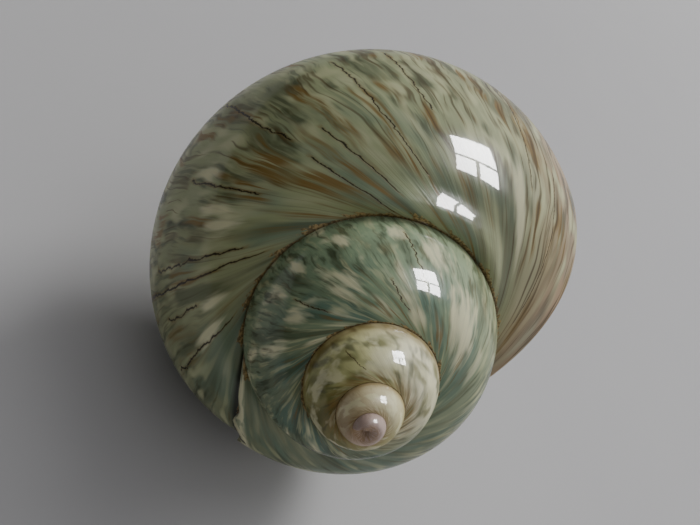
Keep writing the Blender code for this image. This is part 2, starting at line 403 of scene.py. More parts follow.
def wall_at(angle):
    """Wall thickness, thin at the lip and thicker behind it."""
    past = bench.math("MAXIMUM", bench.math("MULTIPLY", angle, -1.0), 0.0)
    behind = bench.math("MINIMUM", bench.math("DIVIDE", past, LIP_TAPER), 1.0)
    return bench.math("ADD", from_to(size["Lip wall"], size["Wall"], behind), scar_inset(angle))


print("rules laid")

# %% [markdown]
# ## The sheets
# The shell broke once and grew on from inside the broken edge, so it is wound in two parts. The
# older one is closed by a lid behind the break, and the newer one starts there a little smaller,
# runs to the lip, turns over its edge and comes back as the inner skin.

# %% The older shell, up to the break
OLDER_ROWS, LID_ROWS, TIP_ROWS = 340, 6, 8
ROW_SPREAD = 0.75            # below 1, the rows lie closer together towards the break
RAG_REACH = 7.0              # the rows straighten out over this many degrees behind the break
TIP_CAP = 10.0               # the tip is rounded over this growth angle


def older_angle(share, down):
    """From the tip to the broken edge, whose last rows wander with it."""
    eased_share = bench.math("POWER", share, ROW_SPREAD)
    angle = from_to(size["Oldest angle"], size["Scar angle"], eased_share)
    near = bench.band(angle, bench.math("SUBTRACT", size["Scar angle"], RAG_REACH), size["Scar angle"])
    return angle, bench.math("MULTIPLY", rag(down), near)


def lid_angle(share, down):
    """The lid that closes the older shell starts at the broken edge and ends flat."""
    return size["Scar angle"], bench.math("MULTIPLY", rag(down), left_of(share))


def tip_angle(share, down):
    """The tip is capped by a small dome."""
    return bench.math("SUBTRACT", size["Oldest angle"], bench.math("MULTIPLY", falling(share), TIP_CAP)), None


older = sheet(bench, size, OLDER_ROWS, older_angle)
older_lid = sheet(bench, size, LID_ROWS, lid_angle, gather_of=left_of)
tip_cap = sheet(bench, size, TIP_ROWS, tip_angle, gather_of=rising)
print("older shell:", OLDER_ROWS, "rows")

# %% The newer shell: outer skin, the lip's edge, inner skin and its deep end
NEWER_ROWS, NEWER_LID_ROWS, EDGE_ROWS, INNER_ROWS, DEEP_ROWS = 150, 2, 8, 60, 6
EDGE_REACH = 1.0             # the lip's edge is rounded over this growth angle
DEEP_DOME = 6.0              # and the deep end of the hollow over this one
WELT_TOP = 3.0               # the swelling's lower side rises up to here, in degrees down
WELT_BACK, WELT_LEVEL = -1.5, 4.0      # its upper side rises between these
WELT_RISE, WELT_FALL = 25.0, 20.0      # and its two ends over these growth angles


def tucked_angle(share, down):
    """The newer shell starts a little inside the older."""
    return bench.math("SUBTRACT", size["Scar angle"], SCAR_TUCK), None


def newer_angle(share, down):
    """From there to the lip."""
    return bench.math("MULTIPLY", tucked_angle(share, down)[0], left_of(share)), None


def edge_angle(share, down):
    """Over the lip's edge and back."""
    bulge = bench.math("SINE", bench.math("MULTIPLY", share, math.pi))
    return bench.math("MULTIPLY", bulge, EDGE_REACH), None


def edge_inset(share, angle, down):
    """From the outer skin in to the inner one, along half a circle."""
    half = bench.math("MULTIPLY", bench.math("COSINE", bench.math("MULTIPLY", share, math.pi)), -0.5)
    return bench.math("MULTIPLY", bench.math("ADD", half, 0.5), size["Lip wall"])


def inner_angle(share, down):
    """From the lip back to the deep end."""
    return bench.math("MULTIPLY", bench.math("MULTIPLY", size["Hollow depth"], -1.0), share), None


def deep_angle(share, down):
    """The deep end is a dome."""
    dome = bench.math("MULTIPLY", rising(share), DEEP_DOME)
    return bench.math("SUBTRACT", bench.math("MULTIPLY", size["Hollow depth"], -1.0), dome), None


def deep_inset(share, angle, down):
    """The wall's thickness, less as the dome closes."""
    return bench.math("MULTIPLY", wall_at(angle), falling(share))


def newer_inset(share, angle, down):
    """Below full size just after the scar, and proud of it in a low swelling beside the suture."""
    beside = bench.math("MULTIPLY", bench.band(down, WELT_REACH, WELT_TOP),
                        bench.band(down, WELT_BACK, WELT_LEVEL))
    along = bench.math("MULTIPLY", bench.band(angle, WELT_FROM - WELT_RISE, WELT_FROM),
                       bench.band(angle, WELT_TO + WELT_FALL, WELT_TO))
    swelling = bench.math("MULTIPLY", bench.math("MULTIPLY", beside, along), size["Welt"])
    return bench.math("SUBTRACT", scar_inset(angle), swelling)


newer = sheet(bench, size, NEWER_ROWS, newer_angle, newer_inset)
newer_lid = sheet(bench, size, NEWER_LID_ROWS, tucked_angle,
                  lambda share, angle, down: bench.math("MULTIPLY", scar_inset(angle), share),
                  lambda share: share)
edge = sheet(bench, size, EDGE_ROWS, edge_angle, edge_inset)
inner = sheet(bench, size, INNER_ROWS, inner_angle, lambda share, angle, down: wall_at(angle))
deep = sheet(bench, size, DEEP_ROWS, deep_angle, deep_inset, falling)
print("newer shell:", NEWER_ROWS, "rows outside and", INNER_ROWS, "inside")

# %% Join, weld and finish the sheets
WELD_DISTANCE = 0.000001


def join_sheets(shapes):
    """Joins shapes into one, not yet welded."""
    joined = tree.nodes.new("GeometryNodeJoinGeometry")
    for shape in shapes:
        tree.links.new(shape, joined.inputs[0])
    return joined.outputs[0]


def with_map(shape):
    """Stores growth angle and depth below the suture, in turns, as a map that finishes can read."""
    values = [bench.attribute(name, "FLOAT") for name in ("growth", "down")]
    pair = bench.node("ShaderNodeCombineXYZ", *[bench.math("DIVIDE", value, 360.0) for value in values])
    stored = bench.node("GeometryNodeStoreNamedAttribute", shape, data_type="FLOAT2", domain="CORNER")
    bench.feed(stored.inputs["Name"], "growth_map")
    bench.feed(bench.open_input(stored, "Value"), pair.outputs[0])
    return stored.outputs[0]


def welded(shape):
    """Merges the points that sheets share."""
    merged = bench.node("GeometryNodeMergeByDistance", shape)
    merged.inputs["Distance"].default_value = WELD_DISTANCE
    return merged.outputs[0]


def painted(shape, finish):
    """Turns a welded shape's faces outward and gives it a finish."""
    flipped = bench.node("GeometryNodeFlipFaces", welded(shape))
    return bench.node("GeometryNodeSetMaterial", flipped.outputs[0], None, finish).outputs[0]


outside = painted(with_map(join_sheets([older, older_lid, tip_cap, newer, newer_lid])), size["Shell finish"])
inside = painted(with_map(join_sheets([edge, inner, deep])), size["Mouth finish"])
smooth = bench.node("GeometryNodeSetShadeSmooth", welded(join_sheets([outside, inside])))
real = bench.node("GeometryNodeRealizeInstances", smooth.outputs[0])
leave = tree.nodes.new("NodeGroupOutput")
tree.links.new(real.outputs[0], leave.inputs[0])
print("tree nodes:", len(tree.nodes))

# %% [markdown]
# ## Where it lies
# The tree winds the shell upright with its tip at the origin. The real one lies on the corner of
# its lip and on its last whorl, so the finished mesh is turned to that pose. The object itself
# stays at the origin, unturned, because finishes and exports read the mesh as it is.

# %% The resting pose
SPIN, LEAN, HEADING = -95.08, -60.23, 109.06
TIP_PLACE = Vector((0.0128900, -0.0320634, 0.0351953))
turn_down = (Matrix.Rotation(math.radians(HEADING), 4, "Z") @ Matrix.Rotation(math.radians(LEAN), 4, "Y")
             @ Matrix.Rotation(math.radians(SPIN), 4, "Z"))
REST = Matrix.Translation(TIP_PLACE) @ turn_down
print("tip at mm", [round(1000 * value, 1) for value in TIP_PLACE])

# %% [markdown]
# ## Reading the growth map in a finish
# Everything on this shell follows its growth: streaks and old cracks are lines of equal growth
# angle, and the crust and bands follow the suture. So the finish is painted in growth
# coordinates, read from the map. Each effect is a node group with named inputs.

# %% Making a node group
def linear(red, green, blue):
    """A colour given as it looks on screen, from 0 to 255, as the light it stands for."""
    lights = []
    for value in (red, green, blue):
        share = value / 255.0
        lights.append(share / 12.92 if share <= 0.04045 else ((share + 0.055) / 1.055) ** 2.4)
    return (*lights, 1.0)


def new_group(name, inputs, outputs):
    """An empty shader group, the bench for it, and its inputs by name."""
    made = bpy.data.node_groups.new(name, "ShaderNodeTree")
    for title, value in inputs:
        kind = "NodeSocketColor" if isinstance(value, tuple) else "NodeSocketFloat"
        made.interface.new_socket(title, in_out="INPUT", socket_type=kind).default_value = value
    for title, kind in outputs:
        made.interface.new_socket(title, in_out="OUTPUT", socket_type=kind)
    laid = Bench(made)
    entry = made.nodes.new("NodeGroupInput")
    leave = made.nodes.new("NodeGroupOutput")
    return laid, {title: entry.outputs[title] for title, _ in inputs}, leave


def place_group(laid, name, **values):
    """Places a group; keyword names use _ for spaces."""
    made = laid.tree.nodes.new("ShaderNodeGroup")
    made.node_tree = bpy.data.node_groups[name]
    for title, value in values.items():
        laid.feed(made.inputs[title.replace("_", " ")], value)
    return made.outputs


def noise(laid, place, detail=2.0, roughness=0.5):
    """Soft noise around 0.5 at a place whose units are its grain."""
    made = laid.tree.nodes.new("ShaderNodeTexNoise")
    made.inputs["Scale"].default_value = 1.0
    laid.feed(made.inputs["Detail"], detail)
    made.inputs["Roughness"].default_value = roughness
    laid.feed(made.inputs["Vector"], place)
    return made.outputs["Fac"]


def place_at(laid, x, y, z):
    """A place from its three coordinates."""
    made = laid.tree.nodes.new("ShaderNodeCombineXYZ")
    for socket, value in zip(made.inputs, (x, y, z)):
        laid.feed(socket, value)
    return made.outputs[0]


def mixed(laid, share, first, second):
    """Turns the first colour into the second by some share."""
    made = laid.tree.nodes.new("ShaderNodeMix")
    made.data_type = "RGBA"
    for name, value in (("Factor", share), ("A", first), ("B", second)):
        laid.feed(laid.open_input(made, name), value)
    return laid.out(made)


def swayed(laid, field, amount, value):
    """A value pushed up or down by a field of noise."""
    return laid.math("MULTIPLY_ADD", laid.math("SUBTRACT", field, 0.5), amount, value)


print("group tools ready")

# %% Growth angle and depth below the suture
laid, given, leave = new_group("growth place", (("Turns", 0.0), ("Share down", 0.0)),
                               (("Angle", "NodeSocketFloat"), ("Down", "NodeSocketFloat")))
laid.feed(leave.inputs["Angle"], laid.math("MULTIPLY", given["Turns"], 360.0))
laid.feed(leave.inputs["Down"], laid.math("MULTIPLY", given["Share down"], 360.0))
print("growth place made")

# %% Streaks along the old lips
STREAK_STRAY = 9.0           # degrees that a streak wanders from its growth line
LINE_EDGE, LINE_CORE = 0.035, 0.004      # a line is where the streaks cross their middle level

STREAK_INPUTS = (("Angle", 0.0), ("Down", 0.0), ("Drift", 0.5), ("Every", 5.0), ("Length", 60.0),
                 ("Seed", 0.0), ("Fineness", 2.0))
laid, given, leave = new_group("growth streaks", STREAK_INPUTS,
                               (("Level", "NodeSocketFloat"), ("Line", "NodeSocketFloat")))
strayed = swayed(laid, given["Drift"], STREAK_STRAY, given["Angle"])
streaks_on = laid.math("DIVIDE", strayed, given["Every"])
streaks_down = laid.math("DIVIDE", given["Down"], given["Length"])
lines = noise(laid, place_at(laid, streaks_on, streaks_down, given["Seed"]), given["Fineness"])
off_middle = laid.math("ABSOLUTE", laid.math("SUBTRACT", lines, 0.5))
laid.feed(leave.inputs["Level"], lines)
laid.feed(leave.inputs["Line"], laid.band(off_middle, LINE_EDGE, LINE_CORE))
print("growth streaks made")

# %% One old crack
CRACK_START, CRACK_END = 5.0, 6.0        # degrees over which a crack thins out at its upper and lower end
CRACK_STAIN = 6.0                        # its nearness falls from 1 to nothing over this many widths

CRACK_INPUTS = (("Angle", 0.0), ("Down", 0.0), ("Stray", 0.0), ("At", 0.0), ("Lean", 0.0), ("From", 0.0),
                ("To", 60.0), ("Wobble", 1.5), ("Width", 0.4), ("Nearness so far", 0.0))
laid, given, leave = new_group("old crack", CRACK_INPUTS, (("Nearness", "NodeSocketFloat"),))
along = laid.math("SUBTRACT", given["Down"], given["From"])
wander = laid.math("MULTIPLY", given["Stray"], given["Wobble"])
path = laid.math("ADD", given["At"], laid.math("MULTIPLY_ADD", given["Lean"], along, wander))
aside = laid.math("ABSOLUTE", laid.math("SUBTRACT", given["Angle"], path))
apart = laid.math("DIVIDE", aside, given["Width"])
to_go = laid.math("SUBTRACT", given["To"], given["Down"])
ends = laid.math("MINIMUM", laid.math("DIVIDE", along, CRACK_START), laid.math("DIVIDE", to_go, CRACK_END))
near = laid.math("MINIMUM", laid.math("SUBTRACT", 1.0, laid.math("DIVIDE", apart, CRACK_STAIN)), ends)
laid.feed(leave.inputs["Nearness"], laid.math("MAXIMUM", near, given["Nearness so far"]))
print("old crack made")

# %% One pale blotch
BLOTCH_INPUTS = (("Angle", 0.0), ("Down", 0.0), ("At angle", 0.0), ("At down", 0.0), ("Half along", 4.0),
                 ("Half down", 4.0), ("Nearest so far", 9.0))
laid, given, leave = new_group("pale blotch", BLOTCH_INPUTS, (("Nearest", "NodeSocketFloat"),))
across = laid.math("DIVIDE", laid.math("SUBTRACT", given["Angle"], given["At angle"]), given["Half along"])
below = laid.math("DIVIDE", laid.math("SUBTRACT", given["Down"], given["At down"]), given["Half down"])
squares = laid.math("ADD", laid.math("MULTIPLY", across, across), laid.math("MULTIPLY", below, below))
far = laid.math("SQRT", squares)
laid.feed(leave.inputs["Nearest"], laid.math("MINIMUM", far, given["Nearest so far"]))
print("pale blotch made")

# %% The golden crust beside a suture
LOWER_FROM, LOWER_FULL = 84.0, 97.0      # it also grows above the next suture, in degrees down
CRUST_BITE = 1.1                         # how hard the grain bites into its edge
GROOVE_EDGE, GROOVE_CORE = 1.4, 0.3      # half the width of the dark groove, in degrees

CRUST_INPUTS = (("Down", 0.0), ("Grain", 0.5), ("Reach", 7.0), ("Cover", 0.5))
laid, given, leave = new_group("suture crust", CRUST_INPUTS,
                               (("Mask", "NodeSocketFloat"), ("Dark", "NodeSocketFloat")))
near = laid.band(given["Down"], given["Reach"], 0.0)
covered = laid.math("MULTIPLY", laid.band(given["Down"], LOWER_FROM, LOWER_FULL), given["Cover"])
bitten = swayed(laid, given["Grain"], CRUST_BITE, laid.math("MAXIMUM", near, covered))
laid.feed(leave.inputs["Mask"], laid.band(bitten, 0.42, 0.62))
laid.feed(leave.inputs["Dark"], laid.band(laid.math("ABSOLUTE", given["Down"]), GROOVE_EDGE, GROOVE_CORE))
print("suture crust made")

# %% [markdown]
# ## The polished outside
# Polishing took the dull outer layer off, so greens, creams and rust browns show through a glossy
# skin. The base colour runs with age: pinkish at the tip, cream and yellow-green on the early
# whorls, teal and grey-green on the late ones, and beige at the lip. Streaks, blotches, cracks
# and the crust are laid over it, and a clear coat carries the sharp reflections.

# %% The age colours
AGE_COLOURS = (
    (-1584, (186, 162, 150)), (-1420, (190, 168, 158)), (-1330, (206, 180, 158)), (-1250, (172, 152, 118)),
    (-1180, (218, 202, 160)), (-1100, (222, 214, 172)), (-1040, (190, 180, 126)), (-960, (146, 140, 84)),
    (-900, (124, 116, 72)), (-850, (185, 185, 120)), (-800, (225, 223, 164)), (-750, (244, 239, 204)),
    (-700, (225, 220, 185)), (-655, (139, 150, 118)), (-600, (109, 122, 98)), (-520, (133, 148, 116)),
    (-450, (141, 163, 128)), (-400, (154, 173, 139)), (-360, (154, 165, 131)), (-290, (124, 133, 109)),
    (-225, (135, 143, 111)), (-170, (158, 163, 122)), (-120, (165, 171, 126)), (-70, (167, 175, 133)),
    (-35, (169, 171, 133)), (-18, (180, 163, 124)), (-4, (184, 154, 122)),
)
OLDEST = -1600.0             # growth angle at the start of the ramp
TEAL = (92, 126, 112)
DEEP_GREEN = (64, 72, 48)
PALE_GREEN = (204, 206, 160)
CREAM = (240, 236, 194)
RUST = (138, 112, 60)
BROWN_LINE = (84, 66, 34)
OLIVE = (104, 104, 52)
# dark of the cracks, also used for the painted shade past the break
CRACK_AND_SHADE_DARK = (32, 26, 18)
GOLD = (150, 116, 60)
DULL_GOLD, BRIGHT_GOLD = (118, 94, 52), (192, 162, 102)
GROOVE_DARK = (52, 38, 22)
PALE_WALL = (214, 210, 196)


def ramp(laid, value, stops):
    """A colour ramp over growth angles, given as screen colours."""
    made = laid.tree.nodes.new("ShaderNodeValToRGB")
    laid.feed(made.inputs[0], laid.math("DIVIDE", laid.math("SUBTRACT", value, OLDEST), -OLDEST))
    for number, (angle, colour) in enumerate(stops):
        place = (angle - OLDEST) / -OLDEST
        stop = made.color_ramp.elements[number] if number < 2 else made.color_ramp.elements.new(place)
        stop.position = place
        stop.color = linear(*colour)
    return made.outputs[0]


print("age colours:", len(AGE_COLOURS))

# %% Marks that are told one by one
CRACKS = (
    # angle, lean, from, to, wobble, width
    (-152.0, -0.08, 1.0, 78.0, 1.3, 0.55),
    (-146.5, -0.05, 8.0, 60.0, 1.3, 0.50),
    (-184.0, 0.06, 1.0, 50.0, 1.6, 0.50),
    (-164.5, 0.00, 17.0, 46.0, 1.5, 0.45),
    (-91.5, 0.00, 4.0, 40.0, 0.9, 0.42),
    (-105.0, 0.10, -2.0, 30.0, 1.2, 0.40),
    (-100.5, 0.02, 30.0, 96.0, 1.0, 0.40),
    (-74.0, 0.00, 12.0, 84.0, 0.8, 0.28),
    (-60.0, 0.00, 38.0, 92.0, 0.8, 0.28),
    (-122.0, 0.00, 18.0, 60.0, 1.0, 0.36),
    (-30.0, 0.00, 30.0, 95.0, 0.5, 0.26),
    (-19.0, 0.02, 2.0, 60.0, 0.5, 0.24),
    (-478.0, 0.03, 12.0, 44.0, 1.6, 0.50),
    (-430.0, -0.05, 8.0, 34.0, 1.8, 0.45),
    (-412.0, 0.05, 30.0, 80.0, 1.4, 0.40),
    (-815.0, 0.10, 15.0, 60.0, 2.0, 0.50),
)
BLOTCHES = (
    # angle, down, half width along the whorl, half width down
    (-168.0, 15.0, 3.4, 4.0), (-180.0, 15.0, 3.0, 4.5), (-135.0, 25.0, 3.4, 5.0), (-129.0, 31.0, 2.4, 5.0),
    (-36.0, 25.0, 2.2, 13.0), (-118.0, 46.0, 2.6, 6.0), (-510.0, 28.0, 4.5, 6.0), (-487.0, 27.0, 4.5, 6.0),
    (-460.0, 28.0, 3.6, 7.0), (-450.0, 30.0, 3.0, 7.0), (-385.0, 26.0, 8.0, 15.0), (-480.0, 60.0, 3.6, 6.0),
    (-462.0, 64.0, 3.2, 6.0), (-440.0, 70.0, 4.0, 7.0), (-415.0, 74.0, 3.4, 7.0), (-398.0, 62.0, 5.0, 12.0),
)
print(len(CRACKS), "cracks and", len(BLOTCHES), "blotches")

# %% Reading where a place is
BUMP_DEPTH = 0.0002          # height of a full bump, in metres


def new_material(name):
    """A new material, the bench for it and its shader."""
    made = bpy.data.materials.new(name)
    made.use_nodes = True
    return made, Bench(made.node_tree), made.node_tree.nodes["Principled BSDF"]


def read_growth(laid):
    """The growth angle and the depth below the suture, in degrees, at a place on the shell."""
    chart = laid.tree.nodes.new("ShaderNodeUVMap")
    chart.uv_map = "growth_map"
    parts = laid.node("ShaderNodeSeparateXYZ", chart.outputs[0])
    outputs = place_group(laid, "growth place", Turns=parts.outputs[0], Share_down=parts.outputs[1])
    return outputs["Angle"], outputs["Down"]


def read_place(laid, scale):
    """Object coordinates, in units of a grain that is one over scale metres wide."""
    chart = laid.tree.nodes.new("ShaderNodeTexCoord")
    return laid.vector("SCALE", chart.outputs["Object"], scale)


def bumped(laid, height, strength):
    """A surface direction that is tilted by a height."""
    bump = laid.node("ShaderNodeBump")
    bump.inputs["Strength"].default_value = strength
    bump.inputs["Distance"].default_value = BUMP_DEPTH
    laid.feed(bump.inputs["Height"], height)
    return bump.outputs[0]


print("a full bump is", 1000 * BUMP_DEPTH, "mm high")

# %% [markdown]
# ## Painting in layers
# The finish is built up as a painter would: a ground colour, then layers of streaks, patches and
# marks, each with a strength, a colour and the masks that say where it goes. A small class keeps
# the paint so far, and every layer is one call.

# %% Paint that is laid in layers
DRIFT_GRAINS = (30.0, 30.0)  # slow wandering of the streaks, in degrees down and along
KINK_GRAINS = (3.6, 16.0)    # and the short kinks of the cracks


class Paint:
    """The outside's colour so far, with the places, noise and masks that its layers share."""

    def __init__(self, laid):
        self.laid = laid
        self.angle, self.down = read_growth(laid)
        self.drift = self.field((self.down, DRIFT_GRAINS[0]), (self.angle, DRIFT_GRAINS[1]), 3.0)
        self.kink = self.field((self.down, KINK_GRAINS[0]), (self.angle, KINK_GRAINS[1]), 5.0, 3.0, 0.6)

    def field(self, one, other, seed, detail=2.0, roughness=0.5):
        """Noise over two measures, each given with the size of its grain in degrees."""
        first, second = [self.laid.math("DIVIDE", *measure) for measure in (one, other)]
        return noise(self.laid, place_at(self.laid, first, second, seed), detail, roughness)

    def patches(self, along, deep, seed, low, high):
        """A mask of soft patches of some length along the whorl and some depth."""
        return self.laid.band(self.field((self.angle, along), (self.down, deep), seed, 1.5), low, high)

    def streaks(self, every, length, seed, fineness=1.5):
        """Growth streaks some degrees apart and some degrees long."""
        return place_group(self.laid, "growth streaks", Angle=self.angle, Down=self.down, Drift=self.drift,
                           Every=every, Length=length, Seed=seed, Fineness=fineness)

    def weakened(self, mask, low, high=1.0):
        """A mask that runs from low to high instead of from 0 to 1."""
        return self.laid.math("MULTIPLY_ADD", mask, high - low, low)

    def lay(self, amount, tint, *masks):
        """Lays a colour over the paint, as far as all its masks let it."""
        share = amount
        for mask in masks:
            share = self.laid.math("MULTIPLY", share, mask)
        over = tint if isinstance(tint, bpy.types.NodeSocket) else linear(*tint)
        self.colour = mixed(self.laid, share, self.colour, over)


print("paint ready")

# %% The colours of age, and where the other layers belong
LATE_RISE = (-700.0, -640.0)                          # the late, green whorls begin
SECOND_FALL = (-340.0, -380.0)                        # and the second whorl ends
BODY_RISE, BODY_FALL = (-215.0, -125.0), (20.0, -20.0)    # the last whorl past the break
BELOW_RISE = (8.0, 36.0)                              # away from the suture, in degrees down
AGE_SWAY = 30.0                                       # growth angle that the colours wander
CLOUD_LONG, CLOUD_DEEP = 26.0, 30.0                   # size of the clouds, in degrees


def paint_ages(paint):
    """The colours of age, and the masks that later layers share."""
    laid, angle, down = paint.laid, paint.angle, paint.down
    paint.cloud = paint.field((angle, CLOUD_LONG), (down, CLOUD_DEEP), 1.0, 3.0)
    paint.colour = ramp(laid, swayed(laid, paint.cloud, AGE_SWAY, angle), AGE_COLOURS)
    paint.late = laid.band(angle, *LATE_RISE)
    paint.early = laid.math("SUBTRACT", 1.0, paint.late)
    paint.body = laid.math("MULTIPLY", laid.band(angle, *BODY_RISE), laid.band(angle, *BODY_FALL))
    paint.below = laid.band(down, *BELOW_RISE)
    paint.second = laid.math("MULTIPLY", paint.late, laid.band(angle, *SECOND_FALL))


print("the second whorl ends at", SECOND_FALL[0], "degrees")

# %% Streaks on the late whorls
# Streaks are told as degrees apart, degrees long, seed and fineness; patches as degrees along,
# degrees down, seed and the levels of noise that they fade between.
BROAD_STREAKS = (11.0, 44.0, 3.0)
MEDIUM_STREAKS = (4.6, 24.0, 5.0, 3.5)
HAIR_STREAKS = (2.0, 34.0, 21.0, 4.0)
CREAM_PATCHES = (12.0, 17.0, 51.0, 0.42, 0.66)


def paint_streaks(paint):
    """Teal clouds, then dark and pale streaks from broad to hair-fine."""
    laid, down = paint.laid, paint.down
    late, second, below = paint.late, paint.second, paint.below
    paint.lay(0.7, TEAL, late, laid.band(paint.cloud, 0.44, 0.62), laid.band(down, 60.0, 20.0),
              paint.weakened(second, 0.7))
    paint.broad = paint.streaks(*BROAD_STREAKS)["Level"]
    paint.lay(0.55, DEEP_GREEN, late, laid.band(paint.broad, 0.50, 0.68))
    paint.lay(0.85, CREAM, late, laid.band(paint.broad, 0.50, 0.34),
              paint.patches(*CREAM_PATCHES), paint.weakened(second, 0.3))
    paint.medium = paint.streaks(*MEDIUM_STREAKS)["Level"]
    paint.lay(0.7, DEEP_GREEN, late, laid.band(paint.medium, 0.47, 0.32), paint.weakened(below, 0.25))
    paint.hair = paint.streaks(*HAIR_STREAKS)["Level"]
    paint.lay(0.55, PALE_GREEN, laid.band(paint.medium, 0.52, 0.68), second)
    paint.lay(0.8, RUST, laid.band(paint.medium, 0.44, 0.34), second, laid.band(down, 26.0, 4.0))
    paint.lay(0.50, PALE_GREEN, laid.band(paint.hair, 0.52, 0.68), paint.weakened(paint.body, 0.1, 0.8),
              below)
    paint.lay(0.55, DEEP_GREEN, laid.band(paint.hair, 0.47, 0.34), late, below)


print("streaks ready")

# %% Pale dashes, rust bands and brown lines
PALE_DASHES = (4.6, 15.0, 8.0, 0.6)
RUST_BANDS = (6.0, 44.0, 9.0)
RUST_PATCHES = (20.0, 20.0, 14.0, 0.38, 0.56)
THIN_LINES = (5.0, 90.0, 12.0)
LINE_PATCHES = (14.0, 18.0, 17.0, 0.42, 0.56)
LINED_RISE = (-80.0, -35.0)              # growth angles over which the lines near the lip begin


def paint_lines(paint):
    """The marks that are mostly on the last whorl."""
    laid, late, second, body, below = paint.laid, paint.late, paint.second, paint.body, paint.below
    dashed = laid.band(paint.streaks(*PALE_DASHES)["Level"], 0.50, 0.72)
    dashes = laid.math("MULTIPLY", dashed, laid.math("SUBTRACT", late, second))
    paint.lay(0.80, PALE_GREEN, dashes, paint.weakened(below, 0.2))
    rusty = laid.band(paint.streaks(*RUST_BANDS)["Level"], 0.50, 0.60)
    rust = laid.math("MULTIPLY", rusty, paint.patches(*RUST_PATCHES))
    lined = paint.weakened(laid.band(paint.hair, 0.56, 0.44), 0.15)
    paint.lay(0.95, RUST, rust, lined, paint.weakened(body, 0.2))
    paint.lay(0.75, BROWN_LINE, laid.band(paint.hair, 0.47, 0.34), laid.band(paint.angle, *LINED_RISE))
    fine = paint.streaks(*THIN_LINES)["Line"]
    paint.lay(0.8, BROWN_LINE, fine, paint.patches(*LINE_PATCHES), paint.weakened(body, 0.1, 0.8),
              paint.weakened(below, 0.3))


print("lines ready")

# %% The early whorls
OLIVE_PATCHES = (26.0, 24.0, 31.0, 0.43, 0.66)
OLIVE_RISE, GREEN_RISE = (-1080.0, -960.0), (-1020.0, -900.0)     # growth angles where each begins
CREAM_RISE, GOLD_RISE = (-1300.0, -1200.0), (-1330.0, -1260.0)
GOLD_LOW, GOLD_HIGH = (66.0, 94.0), (24.0, 4.0)                   # and where gold grows, in degrees down


def paint_early_whorls(paint):
    """Olive patches, green and cream bands, and gold beside both sutures."""
    laid, early, angle, down = paint.laid, paint.early, paint.angle, paint.down
    olive = paint.patches(*OLIVE_PATCHES)
    paint.lay(0.75, OLIVE, early, olive, laid.band(angle, *OLIVE_RISE))
    paint.lay(0.6, DEEP_GREEN, early, laid.band(paint.broad, 0.54, 0.68), laid.band(angle, *GREEN_RISE))
    paint.lay(0.6, CREAM, early, laid.band(paint.cloud, 0.50, 0.62), laid.band(angle, *CREAM_RISE))
    paint.lay(0.55, GOLD, early, laid.band(down, *GOLD_LOW), laid.band(angle, *GOLD_RISE))
    paint.lay(0.6, GOLD, early, laid.band(down, *GOLD_HIGH), laid.band(paint.medium, 0.40, 0.56))


print("early whorls ready")

# %% Blotches and the healed break
BLOTCH_RAG = -4.4            # how far the streaks shape a blotch's edge, in half widths
RIM_START, RIM_FULL = SCAR_ANGLE - 6.5, SCAR_ANGLE - 3.0      # a cream rim runs up to the broken edge
EDGE_BEFORE, EDGE_PAST = SCAR_ANGLE - 0.6, SCAR_ANGLE + 0.6
SHADE_FULL, SHADE_END = SCAR_ANGLE + 3.0, SCAR_ANGLE + 7.0    # and painted shade follows it, in the step below the broken edge
RIM_PATCHES = (3.0, 7.0, 41.0, 0.3, 0.5)


def paint_blotches(paint):
    """White blotches with ragged edges."""
    laid, nearest = paint.laid, None
    for at, depth, half, tall in BLOTCHES:
        nearest = place_group(laid, "pale blotch", Angle=paint.angle, Down=paint.down, At_angle=at,
                              At_down=depth, Half_along=half, Half_down=tall,
                              Nearest_so_far=nearest)["Nearest"]
    paint.lay(0.75, CREAM, laid.band(swayed(laid, paint.medium, BLOTCH_RAG, nearest), 1.7, 0.2))


def paint_scar(paint):
    """A chipped cream rim on the broken edge, and past it the dark gap of the break with painted shade from
    its step.
    """
    laid, angle = paint.laid, paint.angle
    paint.lay(0.85, CREAM, laid.band(angle, RIM_START, RIM_FULL),
              laid.band(angle, EDGE_PAST, EDGE_PAST - 1.0), paint.patches(*RIM_PATCHES))
    # painted shade: the band past the broken edge stands for the step's shadow as well as the dark of the gap
    paint.lay(0.85, CRACK_AND_SHADE_DARK, laid.band(angle, EDGE_BEFORE, EDGE_PAST),
              laid.band(angle, SHADE_END, SHADE_FULL))


print("the rim runs from", RIM_START, "to", EDGE_PAST)

# %% Crust, cracks and the pale skin behind the lip
GRAIN_SCALE, GOLD_SCALE = 2200.0, 3300.0     # grains in a metre
CRUST_RISE = (-1320.0, -1230.0)              # no crust before these growth angles
SCAR_CRUST_ANGLE = -214.0                    # it also follows the break down from the suture
CRUST_SPREAD, CRUST_START = 1.3, 1.6         # degrees off the break, as degrees down from the suture
UNEVEN_LONG, UNEVEN_DEEP = 9.0, 30.0         # size of its wide and narrow stretches
CRUST_REACH = 3.0                            # degrees down on the early whorls, and twice that later
CRACK_KINK, CRACK_DRIFT = 3.0, 4.0           # degrees that a crack strays
CRACK_WEAR = 0.30                            # how ragged its edges are
CRACK_FINENESS = 0.75                        # the cracks are drawn this much finer than their widths
WALL_RISE, WALL_BELOW = (-345.0, -358.0), (97.0, 102.0)


